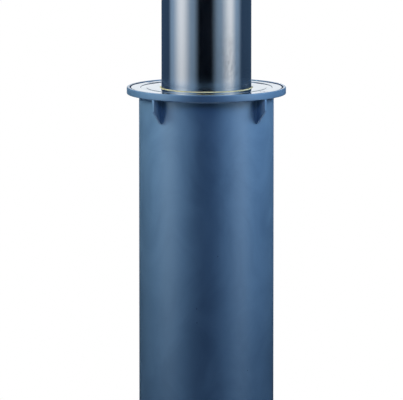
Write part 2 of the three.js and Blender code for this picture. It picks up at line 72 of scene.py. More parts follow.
def high(node):
    """The height of a CAD node's top."""
    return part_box(node)[1][2]


def outer(node):
    """The outer radius of a CAD node that is round about the vertical axis."""
    return max(math.hypot(v.co.x, v.co.y) for v in frame["nodes"][node].data.vertices)


def bore(node):
    """The inner radius of a CAD node that is round about the vertical axis."""
    return min(math.hypot(v.co.x, v.co.y) for v in frame["nodes"][node].data.vertices)


def centre(node):
    """The middle of a CAD node's box."""
    lowest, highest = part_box(node)
    return (Vector(lowest) + Vector(highest)) / 2


# ---------------------------------------------------------------- settings


def linear(hex_colour):
    """An sRGB hex colour as linear red, green and blue."""
    channels = [int(hex_colour[i : i + 2], 16) / 255 for i in (1, 3, 5)]
    return [c / 12.92 if c <= 0.04045 else ((c + 0.055) / 1.055) ** 2.4 for c in channels]


def length(name, description, millimetres):
    """A length setting, given in millimetres and kept in metres."""
    return bpy.props.FloatProperty(
        name=name, description=description, default=millimetres * MM, unit="LENGTH", precision=5
    )


def colour(name, description, hex_colour):
    """A colour setting, given as an sRGB hex value."""
    return bpy.props.FloatVectorProperty(
        name=name, description=description, default=linear(hex_colour), subtype="COLOR", size=3, min=0, max=1
    )


class BollardSizes(bpy.types.PropertyGroup):
    """Sizes of the fine detail. The main sizes come from the frame."""

    facets: bpy.props.IntProperty(
        name="Facets", description="Sides of each large round piece", default=192, min=24
    )
    edge: length("Edge radius", "Rounding of machined and painted edges", 0.5)
    weld: length("Weld leg", "Leg of the fillet welds", 3.0)
    ripple: length("Weld ripple", "Distance between the ripples of a weld", 2.4)
    turning: length("Turning pitch", "Distance between the turning marks, coarser than real ones", 0.9)


class BollardColours(bpy.types.PropertyGroup):
    """Colours of the finishes."""

    paint: colour("Paint", "Blue-grey paint of the casing", "#6a8fab")
    paint_worn: colour("Wiped paint", "Paint where it has been wiped", "#7297b2")
    speck: colour("Specks", "Dust specks in the paint", "#1b2436")
    steel: colour("Stainless steel", "Polished post and cap", "#dde2e6")
    plate: colour("Turned stainless", "Cover and its screws", "#bfd2e3")
    wiper: colour("Wiper", "Polyurethane of the wiper", "#a8a47c")
    zinc: colour("Zinc plate", "Zinc-plated inner pieces", "#a6aab0")
    aluminium: colour("Aluminium", "Machined aluminium", "#b9bcbf")
    acetal: colour("Acetal", "White sliding pieces", "#e4e2da")
    rubber: colour("Rubber", "Black rubber", "#1d1e20")
    brass: colour("Brass", "Lock barrel and plug", "#c9a65a")
    enamel: colour("Black enamel", "Gas spring", "#0d0e10")
    film: colour("Film", "Reflective film", "#a2a8b0")


class BollardStudio(bpy.types.PropertyGroup):
    """The camera and the lights."""

    distance: length("Camera distance", "From the camera to the axis", 8000)
    turn: bpy.props.FloatProperty(
        name="Camera turn", description="To the left of the front", default=math.radians(3.1), subtype="ANGLE"
    )
    elevation: bpy.props.FloatProperty(
        name="Camera elevation", description="Seen from the cover", default=math.radians(6.5), subtype="ANGLE"
    )
    picture: length("Picture width", "Width that the picture spans at the axis", 512.2)
    aim: length("Aim height", "Height that the camera looks at", 654.8)
    aside: length("Aim aside", "How far left of the axis the camera looks", 6.2)


# ---------------------------------------------------------------- meshes


def arc(before, corner, after, radius, steps=4):
    """Points of a round corner between two straight sides."""
    start = (before - corner).normalized()
    end = (after - corner).normalized()
    half = start.angle(end) / 2
    reach = min(radius / math.tan(half), (before - corner).length / 2, (after - corner).length / 2)
    a = corner + start * reach
    b = corner + end * reach
    return [
        (1 - t) ** 2 * a + 2 * t * (1 - t) * corner + t**2 * b for t in (i / steps for i in range(steps + 1))
    ]


def softened(outline, radius):
    """An outline of points with each corner rounded, apart from those on the axis."""
    points = [Vector(p) for p in outline]
    rounded = []
    for i, corner in enumerate(points):
        on_axis = corner.x < 1e-7
        before = points[i - 1]
        after = points[(i + 1) % len(points)]
        straight = (corner - before).normalized().dot((after - corner).normalized()) > 0.999
        rounded += [corner] if on_axis or straight else arc(before, corner, after, radius)
    return rounded


def smooth(mesh):
    """Shades a mesh smooth, with its true edges kept sharp."""
    mesh.shade_smooth()
    mesh.set_sharp_from_angle(angle=SHARP_ANGLE)


def mesh_from(name, bm):
    """A mesh with its faces turned outwards."""
    bmesh.ops.remove_doubles(bm, verts=bm.verts, dist=1e-7)
    bmesh.ops.recalc_face_normals(bm, faces=bm.faces)
    mesh = bpy.data.meshes.new(name)
    bm.to_mesh(mesh)
    bm.free()
    smooth(mesh)
    return mesh


def object_of(name, mesh):
    """A new object in the scene that holds a mesh."""
    piece = bpy.data.objects.new(name, mesh)
    bpy.context.scene.collection.objects.link(piece)
    return piece


def spun(name, outline, facets, bulge=None):
    """An object turned about the vertical axis from a closed outline of radii and heights.

    Bulge, if given, is a function of the angle that moves each ring's radius outwards.
    """
    bm = bmesh.new()
    rings = []
    for point in outline:
        r, z = point[0], point[1]
        if r < 1e-7:
            rings.append([bm.verts.new((0, 0, z))] * facets)
            continue
        angles = [2 * math.pi * i / facets for i in range(facets)]
        radii = [r + (bulge(a) if bulge else 0) for a in angles]
        rings.append([bm.verts.new((q * math.cos(a), q * math.sin(a), z)) for q, a in zip(radii, angles)])
    for i, ring in enumerate(rings):
        after = rings[(i + 1) % len(rings)]
        if ring[0] is ring[1] and after[0] is after[1]:
            continue
        for k in range(facets):
            corners = [ring[k], ring[(k + 1) % facets], after[(k + 1) % facets], after[k]]
            bm.faces.new(list(dict.fromkeys(corners)))
    return object_of(name, mesh_from(name, bm))


def extruded(name, outline, thickness, edge=0.0):
    """An object with a flat outline in X and Z and its thickness along Y, centred on Y = 0."""
    bm = bmesh.new()
    face = bm.faces.new([bm.verts.new((x, -thickness / 2, z)) for x, z in outline])
    grown = bmesh.ops.extrude_face_region(bm, geom=[face])["geom"]
    moved = [v for v in grown if isinstance(v, bmesh.types.BMVert)]
    bmesh.ops.translate(bm, verts=moved, vec=(0, thickness, 0))
    if edge:
        bmesh.ops.bevel(bm, geom=bm.edges[:], offset=edge, segments=3, affect="EDGES", profile=0.5)
    return object_of(name, mesh_from(name, bm))


def moved(piece, x=0.0, y=0.0, z=0.0, turn=None):
    """Moves a piece's mesh, so that the object itself stays at the origin."""
    piece.data.transform(Matrix.Translation((x, y, z)) @ (turn or Matrix()))
    return piece


def merged(name, *pieces):
    """One object that holds the meshes of several."""
    bm = bmesh.new()
    for piece in pieces:
        bm.from_mesh(piece.data)
        bpy.data.objects.remove(piece)
    mesh = bpy.data.meshes.new(name)
    bm.to_mesh(mesh)
    bm.free()
    smooth(mesh)
    return object_of(name, mesh)


def bake(piece):
    """Turns what a piece's modifiers make into its own plain mesh, and removes them."""
    depsgraph = bpy.context.evaluated_depsgraph_get()
    made = bpy.data.meshes.new_from_object(piece.evaluated_get(depsgraph))
    piece.modifiers.clear()
    piece.data = made
    smooth(made)
    return piece


def carved(piece, *cutters):
    """Cuts the shapes of other objects out of a piece, and deletes them."""
    for cutter in cutters:
        cut = piece.modifiers.new("cut", "BOOLEAN")
        cut.operation = "DIFFERENCE"
        cut.solver = "EXACT"
        cut.object = cutter
    bake(piece)
    for cutter in cutters:
        bpy.data.objects.remove(cutter)
    return piece


# ---------------------------------------------------------------- node helpers


def shown(sockets, name):
    """The socket of a name that the node's settings leave in use."""
    return next(socket for socket in sockets if socket.name == name and socket.enabled)


def node(tree, kind, inputs=None, **settings):
    """Adds a node with its settings. An input is a value, or the socket that feeds it."""
    made = tree.nodes.new(kind)
    for name, value in settings.items():
        setattr(made, name, value)
    for name, value in (inputs or {}).items():
        place = made.inputs[name] if isinstance(name, int) else shown(made.inputs, name)
        if isinstance(value, bpy.types.NodeSocket):
            tree.links.new(value, place)
        else:
            place.default_value = value
    return made


def ramp(tree, factor, *stops, interpolation="EASE"):
    """Adds a colour ramp. Each stop is a position and a linear colour."""
    made = node(tree, "ShaderNodeValToRGB", {"Fac": factor})
    made.color_ramp.interpolation = interpolation
    elements = made.color_ramp.elements
    while len(elements) < len(stops):
        elements.new(1.0)
    for element, (position, shade) in zip(elements, stops):
        element.position = position
        element.color = (*shade[:3], 1.0)
    return made.outputs["Color"]


def ranged(tree, factor, from_low, from_high, to_low, to_high):
    """Maps a factor from one range to another."""
    return node(
        tree,
        "ShaderNodeMapRange",
        {"Value": factor, "From Min": from_low, "From Max": from_high, "To Min": to_low, "To Max": to_high},
    ).outputs["Result"]


def maths(tree, operation, a, b):
    """One sum."""
    return node(tree, "ShaderNodeMath", {0: a, 1: b}, operation=operation).outputs["Value"]


def mixed_by(tree, a, share_a, b, share_b):
    """The sum of two factors, each by its share."""
    return maths(tree, "ADD", maths(tree, "MULTIPLY", a, share_a), maths(tree, "MULTIPLY", b, share_b))


def bumped(tree, height, depth):
    """A bump of a real depth in metres."""
    return node(tree, "ShaderNodeBump", {"Height": height, "Distance": depth}).outputs["Normal"]


def new_tree(name, **inputs):
    """A Geometry Nodes tree that takes a mesh, more inputs by name and kind, and a material."""
    tree = bpy.data.node_groups.new(name, "GeometryNodeTree")
    for label, kind in {"Geometry": "Geometry", **inputs, "Material": "Material"}.items():
        label = label.replace("_", " ")
        tree.interface.new_socket(label, in_out="INPUT", socket_type=f"NodeSocket{kind}")
    tree.interface.new_socket("Geometry", in_out="OUTPUT", socket_type="NodeSocketGeometry")
    return tree


def finished(tree, geometry, material):
    """The last nodes of a tree: its instances made real, and its material set."""
    real = node(tree, "GeometryNodeRealizeInstances", {"Geometry": geometry}).outputs["Geometry"]
    coated = node(tree, "GeometryNodeSetMaterial", {"Geometry": real, "Material": material})
    node(tree, "NodeGroupOutput", {"Geometry": coated.outputs["Geometry"]})
    return tree


def circle_tree():
    """A Geometry Nodes tree that sets copies of its own mesh on a circle."""
    tree = new_tree(
        "copies_on_a_circle", Count="Int", Radius="Float", First_angle="Float", Height="Float"
    )
    given = node(tree, "NodeGroupInput").outputs
    placed = circle_points(tree, given, given["Height"])
    copies = node(
        tree,
        "GeometryNodeInstanceOnPoints",
        {"Points": placed["points"], "Instance": given["Geometry"], "Rotation": placed["turn"]},
    ).outputs["Instances"]
    return finished(tree, copies, given["Material"])


def drill_tree():
    """A Geometry Nodes tree that cuts copies of another object out of its own mesh, on a circle."""
    tree = new_tree(
        "holes_on_a_circle", Count="Int", Radius="Float", First_angle="Float", Cutter="Object"
    )
    given = node(tree, "NodeGroupInput").outputs
    placed = circle_points(tree, given, 0.0)
    cutter = node(tree, "GeometryNodeObjectInfo", {"Object": given["Cutter"]}).outputs["Geometry"]
    copies = node(
        tree,
        "GeometryNodeInstanceOnPoints",
        {"Points": placed["points"], "Instance": cutter, "Rotation": placed["turn"]},
    ).outputs["Instances"]
    real = node(tree, "GeometryNodeRealizeInstances", {"Geometry": copies}).outputs["Geometry"]
    drilled = node(
        tree,
        "GeometryNodeMeshBoolean",
        {"Mesh 1": given["Geometry"], "Mesh 2": real},
        operation="DIFFERENCE",
        solver="EXACT",
    ).outputs["Mesh"]
    return finished(tree, drilled, given["Material"])


def circle_points(tree, given, height):
    """Nodes for the points of a circle, and the turn of what stands on each."""
    circle = node(
        tree, "GeometryNodeMeshCircle", {"Vertices": given["Count"], "Radius": given["Radius"]}
    ).outputs["Mesh"]
    lift = node(tree, "ShaderNodeCombineXYZ", {"Z": height}).outputs["Vector"]
    start = node(tree, "ShaderNodeCombineXYZ", {"Z": given["First angle"]}).outputs["Vector"]
    points = node(
        tree, "GeometryNodeTransform", {"Geometry": circle, "Translation": lift, "Rotation": start}
    ).outputs["Geometry"]
    index = node(tree, "GeometryNodeInputIndex").outputs["Index"]
    share = maths(tree, "DIVIDE", index, given["Count"])
    angle = maths(tree, "ADD", maths(tree, "MULTIPLY", share, 2 * math.pi), given["First angle"])
    turn = node(tree, "ShaderNodeCombineXYZ", {"Z": angle}).outputs["Vector"]
    return {"points": points, "turn": turn}


def run_tree(piece, tree, **values):
    """Runs a Geometry Nodes tree on a piece, with its inputs given by name, and bakes the result."""
    modifier = piece.modifiers.new(tree.name, "NODES")
    modifier.node_group = tree
    for item in tree.interface.items_tree:
        key = item.name.lower().replace(" ", "_")
        if item.in_out == "INPUT" and key in values:
            modifier[item.identifier] = values[key]
    return bake(piece)


def copied(piece, count, radius, first_angle, height, material):
    """Copies of a small piece on a circle."""
    tree = bpy.data.node_groups.get("copies_on_a_circle") or circle_tree()
    return run_tree(
        piece, tree, count=count, radius=radius, first_angle=first_angle, height=height, material=material
    )


def drilled(piece, cutter, count, radius, first_angle, material):
    """A piece with holes on a circle. The cutter is deleted."""
    tree = bpy.data.node_groups.get("holes_on_a_circle") or drill_tree()
    run_tree(
        piece, tree, count=count, radius=radius, first_angle=first_angle, cutter=cutter, material=material
    )
    bpy.data.objects.remove(cutter)
    return piece


# ---------------------------------------------------------------- materials


def new_material(name):
    """An empty material with a Principled shader, and its tree, shader and object coordinates."""
    material = bpy.data.materials.new(name)
    material.use_nodes = True
    tree = material.node_tree
    tree.nodes.clear()
    shader = node(tree, "ShaderNodeBsdfPrincipled")
    node(tree, "ShaderNodeOutputMaterial", {"Surface": shader.outputs["BSDF"]})
    place = node(tree, "ShaderNodeTexCoord").outputs["Object"]
    return material, tree, shader, place


def noise(tree, place, size, detail=3.0, roughness=0.5, distortion=0.0):
    """Noise whose largest lumps are about a given size in metres."""
    return node(
        tree,
        "ShaderNodeTexNoise",
        {
            "Vector": place,
            "Scale": 1 / size,
            "Detail": detail,
            "Roughness": roughness,
            "Distortion": distortion,
        },
    ).outputs["Fac"]


def stretched(tree, place, x, y, z):
    """Coordinates scaled along each axis."""
    return node(tree, "ShaderNodeMapping", {"Vector": place, "Scale": (x, y, z)}).outputs["Vector"]


def gradient(tree, place, kind):
    """A gradient of a kind."""
    return node(tree, "ShaderNodeTexGradient", {"Vector": place}, gradient_type=kind).outputs["Fac"]


def feed(tree, shader, **sockets):
    """Links sockets to the shader's inputs, or sets their values."""
    for name, value in sockets.items():
        place = shader.inputs[name.replace("_", " ").replace("colour", "Color").title()]
        if isinstance(value, bpy.types.NodeSocket):
            tree.links.new(value, place)
        else:
            place.default_value = value


def painted_steel():
    """Sprayed satin enamel with fine metal flake, under a thin lacquer: blue-grey, with faint wipe marks,
    dust specks and orange peel."""
    colours = bpy.context.scene.bollard_colours
    material, tree, shader, place = new_material("sprayed_satin_enamel")
    upright = stretched(tree, place, 1, 1, 0.7)
    wipes = noise(tree, upright, 70 * MM, detail=4, roughness=0.6, distortion=1.6)
    clouds = noise(tree, place, 240 * MM, detail=2)
    mark = mixed_by(tree, wipes, 0.65, clouds, 0.35)
    even = Vector(colours.paint) * 0.92
    coat = ramp(tree, mark, (0.36, even), (0.64, colours.paint_worn))
    # dust specks of about 1 mm, in a few of the cells 14 mm apart
    cells = node(tree, "ShaderNodeTexVoronoi", {"Vector": place, "Scale": 1 / (14 * MM)}, feature="F1")
    chosen = maths(tree, "GREATER_THAN", cells.outputs["Color"], 0.86)
    spot = maths(tree, "LESS_THAN", cells.outputs["Distance"], 0.06)
    speck = maths(tree, "MULTIPLY", maths(tree, "MULTIPLY", chosen, spot), 0.8)
    mixed = node(
        tree, "ShaderNodeMix", {"Factor": speck, "A": coat, "B": (*colours.speck, 1)}, data_type="RGBA"
    )
    # orange peel is about 2 mm across and a few microns deep
    peel = noise(tree, place, 2.2 * MM, detail=2)
    feed(
        tree,
        shader,
        base_colour=shown(mixed.outputs, "Result"),
        roughness=ranged(tree, wipes, 0.3, 0.7, 0.40, 0.48),
        normal=bumped(tree, peel, 0.02 * MM),
        metallic=0.6,
    )
    shader.inputs["Coat Weight"].default_value = 0.8
    shader.inputs["Coat Roughness"].default_value = 0.25
    return material


def polished_stainless():
    """Stainless tube polished lengthwise: clear soft bands, with faint drawn lines and a few hand prints."""
    colours = bpy.context.scene.bollard_colours
    material, tree, shader, place = new_material("polished_stainless_tube")
    # drawn lines are about 0.05 mm apart, drawn at 0.8 mm so that they show
    lines = noise(tree, stretched(tree, place, 1, 1, 0.02), 0.8 * MM, detail=3, roughness=0.6)
    broad = noise(tree, stretched(tree, place, 1, 1, 0.15), 12 * MM, detail=2)
    smear = noise(tree, stretched(tree, place, 1, 1, 0.6), 9 * MM, detail=5, roughness=0.7, distortion=0.8)
    # hand prints lie in a patch low on the post, to the right of its front
    patch = node(
        tree,
        "ShaderNodeMapping",
        {
            "Vector": place,
            "Location": (-26 * MM, 50 * MM, -(high("top_flange") + 34 * MM)),
        },
        vector_type="POINT",
    ).outputs["Vector"]
    flattened = stretched(tree, patch, 1 / (20 * MM), 1 / (26 * MM), 1 / (60 * MM))
    near = gradient(tree, flattened, "SPHERICAL")
    prints = maths(tree, "MULTIPLY", near, ranged(tree, smear, 0.42, 0.62, 0.0, 1.0))
    shade = mixed_by(tree, lines, 0.5, broad, 0.5)
    bright = Vector(colours.steel)
    tint = ramp(tree, shade, (0.3, bright * 0.93), (0.7, bright))
    dulled = node(
        tree,
        "ShaderNodeMix",
        {"Factor": maths(tree, "MULTIPLY", prints, 0.45), "A": tint, "B": (*(bright * 0.55), 1)},
        data_type="RGBA",
    )
    base = ranged(tree, broad, 0.3, 0.7, 0.13, 0.16)
    feed(
        tree,
        shader,
        base_colour=shown(dulled.outputs, "Result"),
        roughness=maths(tree, "ADD", base, maths(tree, "MULTIPLY", prints, 0.1)),
        normal=bumped(tree, lines, 0.001 * MM),
        metallic=1.0,
    )
    # the polishing belt ran round the tube, so that reflections spread up and down it
    shader.inputs["Anisotropic"].default_value = 1.0
    shader.inputs["Anisotropic Rotation"].default_value = 0.25
    around = node(tree, "ShaderNodeTangent", direction_type="RADIAL", axis="Z").outputs["Tangent"]
    tree.links.new(around, shader.inputs["Tangent"])
    return material


def turned_stainless():
    """Stainless faced on a lathe: very fine rings about the axis, so that reflections spread sideways."""
    colours = bpy.context.scene.bollard_colours
    sizes = bpy.context.scene.bollard_sizes
    material, tree, shader, place = new_material("turned_stainless_plate")
    rings = node(
        tree,
        "ShaderNodeTexWave",
        {"Vector": place, "Scale": 1 / (20 * sizes.turning), "Distortion": 0.3, "Detail": 2},
        wave_type="RINGS",
        rings_direction="Z",
    ).outputs["Fac"]
    stains = noise(tree, place, 25 * MM, detail=4, roughness=0.6)
    bright = Vector(colours.plate)
    feed(
        tree,
        shader,
        base_colour=ramp(tree, stains, (0.3, bright * 0.94), (0.7, bright)),
        roughness=ranged(tree, stains, 0.3, 0.7, 0.04, 0.07),
        normal=bumped(tree, rings, 0.002 * MM),
        metallic=1.0,
    )
    return material


def cast_polyurethane():
    """Cast polyurethane, wiped by the post: translucent and waxy, with a slightly mottled colour."""
    colours = bpy.context.scene.bollard_colours
    material, tree, shader, place = new_material("cast_polyurethane")
    mottle = noise(tree, place, 6 * MM, detail=3)
    shade = Vector(colours.wiper)
    feed(
        tree,
        shader,
        base_colour=ramp(tree, mottle, (0.3, shade * 0.85), (0.7, shade)),
        roughness=ranged(tree, mottle, 0.3, 0.7, 0.35, 0.5),
        normal=bumped(tree, mottle, 0.02 * MM),
    )
    shader.inputs["Subsurface Weight"].default_value = 0.15
    shader.inputs["Subsurface Radius"].default_value = (0.001, 0.001, 0.0005)
    return material


def plain_finish(name, shade, metallic, roughness, grain, depth, spread=0.12):
    """A finish of one colour, mottled and roughened by a grain of a real size."""
    material, tree, shader, place = new_material(name)
    mottle = noise(tree, place, grain, detail=4, roughness=0.6)
    clouds = noise(tree, place, 12 * grain, detail=2)
    both = mixed_by(tree, mottle, 0.5, clouds, 0.5)
    bright = Vector(shade)
    feed(
        tree,
        shader,
        base_colour=ramp(tree, both, (0.32, bright * (1 - spread)), (0.68, bright)),
        roughness=ranged(tree, both, 0.3, 0.7, roughness - 0.05, roughness + 0.05),
        normal=bumped(tree, mottle, depth),
        metallic=metallic,
    )
    return material


def zinc_plate():
    """Electroplated zinc on steel: cool grey with a soft, slightly cloudy shine."""
    shade = bpy.context.scene.bollard_colours.zinc
    return plain_finish("electroplated_zinc", shade, 1.0, 0.38, 3 * MM, 0.004 * MM, spread=0.2)


def machined_aluminium():
    """Aluminium as machined: pale grey and satin, with cutter marks too fine to see apart."""
    shade = bpy.context.scene.bollard_colours.aluminium
    return plain_finish("machined_aluminium", shade, 1.0, 0.42, 1.5 * MM, 0.006 * MM)


def turned_acetal():
    """Acetal turned on a lathe: waxy off-white with a dull shine."""
    shade = bpy.context.scene.bollard_colours.acetal
    return plain_finish("turned_acetal", shade, 0.0, 0.45, 1.2 * MM, 0.01 * MM, spread=0.05)


def moulded_rubber():
    """Rubber moulded in a blasted tool: near black, dull and finely pebbled."""
    shade = bpy.context.scene.bollard_colours.rubber
    return plain_finish("moulded_rubber", shade, 0.0, 0.75, 0.8 * MM, 0.03 * MM, spread=0.3)


def turned_brass():
    """Bare brass: warm yellow, a little dulled in random patches."""
    shade = bpy.context.scene.bollard_colours.brass
    return plain_finish("turned_brass", shade, 1.0, 0.3, 2 * MM, 0.003 * MM, spread=0.25)


def black_enamel():
    """Black stove enamel: deep and glossy, with a trace of orange peel."""
    shade = bpy.context.scene.bollard_colours.enamel
    return plain_finish("black_stove_enamel", shade, 0.0, 0.28, 2.5 * MM, 0.01 * MM, spread=0.3)


def prismatic_film():
    """Reflective film: white under a clear face, in a honeycomb of sealed cells about 4 mm across."""
    colours = bpy.context.scene.bollard_colours
    material, tree, shader, place = new_material("prismatic_reflective_film")
    cells = node(
        tree,
        "ShaderNodeTexVoronoi",
        {"Vector": place, "Scale": 1 / (4 * MM), "Randomness": 0.0},
        feature="DISTANCE_TO_EDGE",
    ).outputs["Distance"]
    wall = ranged(tree, cells, 0.03, 0.09, 0.0, 1.0)
    face = Vector(colours.film)
    feed(
        tree,
        shader,
        base_colour=ramp(tree, wall, (0.0, face), (1.0, face * 0.78)),
        roughness=ranged(tree, cells, 0.0, 0.4, 0.4, 0.3),
        normal=bumped(tree, wall, 0.03 * MM),
        metallic=0.2,
    )
    shader.inputs["Coat Weight"].default_value = 0.6
    shader.inputs["Coat Roughness"].default_value = 0.08
    return material


FINISHES = {
    "casing_paint": painted_steel,
    "stainless": polished_stainless,
    "cover": turned_stainless,
    "polyurethane": cast_polyurethane,
    "zinc_steel": zinc_plate,
    "cast_aluminium": machined_aluminium,
    "acetal": turned_acetal,
    "rubber": moulded_rubber,
    "brass": turned_brass,
    "spring_paint": black_enamel,
    "reflective_film": prismatic_film,
}
made_finishes = {}


def finish_of(name):
    """The material of a finish, made the first time it is asked for."""
    if name not in made_finishes:
        made_finishes[name] = FINISHES[name]()
    return made_finishes[name]


def fit(piece, finish, body, *nodes, slot=None):
    """Gives a finished piece its material and its body, and hides the CAD nodes that it stands for."""
    piece.data.materials.clear()
    piece.data.materials.append(finish_of(finish))
    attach(piece, body)
    if nodes:
        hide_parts(*nodes)
    return piece


# ---------------------------------------------------------------- small parts that repeat


def screw(name, head, shank, depth, length_below, socket):
    """A countersunk screw with a hexagon socket. Its head's top is at height 0."""
    edge = 0.15 * MM
    land = 0.3 * MM
    outline = [
        (0, 0), (head, 0), (head, -land), (shank, -land - (head - shank)),
        (shank, -length_below), (0, -length_below),
    ]
    body = spun(name, softened(outline, edge), 48)
    lead = 0.2 * MM
    hexagon = [(0, -depth), (socket, -depth), (socket, -lead), (socket + 2 * lead, lead), (0, lead)]
    return carved(body, spun("socket", hexagon, 6))


def countersink(bottom, top, hole, seat):
    """A cutter for a through hole whose top is countersunk, from below a plate to above it."""
    outline = [
        (0, bottom - MM), (hole, bottom - MM), (hole, top - (seat - hole)),
        (seat, top - 0.15 * MM), (seat + 0.5 * MM, top + 0.2 * MM), (0, top + 0.2 * MM),
    ]
    return spun("countersink", outline, 48)


def weld_ring(name, radius, height, up, facets):
    """A rippled fillet weld round the casing, in the corner above or below a plate."""
    sizes = bpy.context.scene.bollard_sizes
    leg = sizes.weld * (1 if up else -1)
    count = round(2 * math.pi * radius / sizes.ripple)
    steps = 5
    hollow = 0.82
    face = []
    for i in range(steps + 1):
        turn = i / steps * math.pi / 2
        across, along = 1 - hollow * math.sin(turn), 1 - hollow * math.cos(turn)
        face.append((radius + sizes.weld * across, height + leg * along))
    face[0] = (radius + sizes.weld, height)
    face[-1] = (radius, height + leg)
    outline = [(radius - 0.5 * MM, height + leg), (radius - 0.5 * MM, height), *face]
    return spun(name, outline, facets * 4, bulge=lambda a: 0.12 * MM * abs(math.sin(count * a / 2)))


# ---------------------------------------------------------------- operators


class BuildCasing(bpy.types.Operator):
    """Make the casing's tube, its base plate, the drain's strainer and the welds round both ends"""

    bl_idname = "bollard.casing"
    bl_label = "Casing"

    def execute(self, context):
        sizes = context.scene.bollard_sizes
        self.tube(sizes)
        self.base(sizes)
        self.strainer(sizes)
        return {"FINISHED"}

    def tube(self, sizes):
        inside, outside = bore("casing_tube"), outer("casing_tube")
        bottom, top = low("casing_tube"), high("casing_tube")
        outline = [(inside, bottom), (outside, bottom), (outside, top), (inside, top)]
        wall = spun("casing_wall", softened(outline, sizes.edge), sizes.facets)
        fit(wall, "casing_paint", "casing", "casing_tube")
        upper = weld_ring("flange_weld", outside, low("top_flange"), False, sizes.facets)
        fit(upper, "casing_paint", "casing")
        lower = weld_ring("base_weld", outside, high("base_plate"), True, sizes.facets)
        fit(lower, "casing_paint", "casing")

    def base(self, sizes):
        drain, outside = bore("base_plate"), outer("base_plate")
        top = high("base_plate")
        recess = outer("drain_strainer") + CLEARANCE
        seat = low("drain_strainer") - CLEARANCE
        outline = [(drain, 0), (outside, 0), (outside, top), (recess, top), (recess, seat), (drain, seat)]
        plate = spun("base_disc", softened(outline, sizes.edge), sizes.facets)
        hole = 5.5 * MM
        lip = sizes.edge
        flared = hole + lip + MM
        anchor = [(0, -MM), (flared, -MM), (hole, lip), (hole, top - lip), (flared, top + MM), (0, top + MM)]
        cutter = spun("anchor_hole", anchor, 48)
        drilled(plate, cutter, 4, outside - 10 * MM, math.pi / 4, finish_of("casing_paint"))
        fit(plate, "casing_paint", "casing", "base_plate")

    def strainer(self, sizes):
        bottom, top = low("drain_strainer"), high("drain_strainer")
        radius = outer("drain_strainer")
        outline = [(0, bottom), (radius, bottom), (radius, top), (0, top)]
        grid = spun("drain_grid", softened(outline, 0.3 * MM), 96)
        for count, ring in ((6, 7.0 * MM), (12, 13.5 * MM), (18, 20 * MM)):
            cutter = spun("perforation", [(0, 0), (2 * MM, 0), (2 * MM, 2 * top), (0, 2 * top)], 20)
            drilled(grid, cutter, count, ring, 0.0, finish_of("zinc_steel"))
        fit(grid, "zinc_steel", "casing", "drain_strainer")


class BuildFlange(bpy.types.Operator):
    """Make the flange with its raised rim, and the four gussets welded under it"""

    bl_idname = "bollard.flange"
    bl_label = "Flange"

    def execute(self, context):
        sizes = context.scene.bollard_sizes
        self.ring(sizes)
        self.gussets(sizes)
        return {"FINISHED"}

    def ring(self, sizes):
        inside, outside = bore("top_flange"), outer("top_flange")
        bottom, top = low("top_flange"), high("top_flange")
        rim = outer("cover_ring") + 1.5 * MM
        seat = low("cover_ring") - CLEARANCE
        outline = [
            (inside, bottom), (outside, bottom), (outside, top), (rim, top), (rim, seat), (inside, seat),
        ]
        ring = spun("flange_ring", softened(outline, 1.1 * MM), sizes.facets)
        screw_at = centre("cover_screw_1").xy
        hole = [(0, bottom - MM), (2.8 * MM, bottom - MM), (2.8 * MM, top), (0, top)]
        cutter = spun("screw_hole", hole, 32)
        angle = math.atan2(screw_at.y, screw_at.x)
        drilled(ring, cutter, 4, screw_at.length, angle, finish_of("casing_paint"))
        fit(ring, "casing_paint", "casing", "top_flange")

    def gussets(self, sizes):
        inside = outer("casing_tube")
        top = low("top_flange")
        reach = outer("gusset_1")
        depth = top - low("gusset_1")
        thickness = 4 * MM
        straight = 15 * MM
        land = 2 * MM
        outline = [
            (inside - CLEARANCE, top),
            (reach, top),
            (reach, top - straight),
            (inside + land, top - depth),
            (inside - CLEARANCE, top - depth),
        ]
        plate = extruded("gusset_plate", outline, thickness, edge=0.45 * MM)
        beads = [self.bead(sizes, inside, top, depth, side * thickness / 2, side) for side in (-1, 1)]
        whole = merged("flange_gussets", plate, *beads)
        copied(whole, 4, 1e-6, math.pi / 4, 0.0, finish_of("casing_paint"))
        fit(whole, "casing_paint", "casing", "gusset_1", "gusset_2", "gusset_3", "gusset_4")

    def bead(self, sizes, inside, top, depth, side, sense):
        """A short fillet weld down one side of a gusset, where it meets the tube."""
        leg = 2.2 * MM
        sunk = -0.6 * MM
        count = 28
        bm = bmesh.new()
        rings = []
        for i in range(count + 1):
            t = i / count
            z = top - t * (depth - 0.5 * MM)
            swell = leg * (0.9 + 0.12 * abs(math.sin(t * depth / sizes.ripple * math.pi)))
            swell *= min(1.0, 0.35 + 8 * (1 - t))
            corners = [(sunk, 0), (swell, 0), (swell * 0.62, swell * 0.38), (0, swell), (sunk, swell)]
            rings.append([bm.verts.new((inside + x, side + sense * y, z)) for x, y in corners])
        for a, b in zip(rings, rings[1:]):
            for k in range(5):
                bm.faces.new([a[k], a[(k + 1) % 5], b[(k + 1) % 5], b[k]])
        bm.faces.new(rings[0])
        bm.faces.new(list(reversed(rings[-1])))
        return object_of("bead", mesh_from("bead", bm))


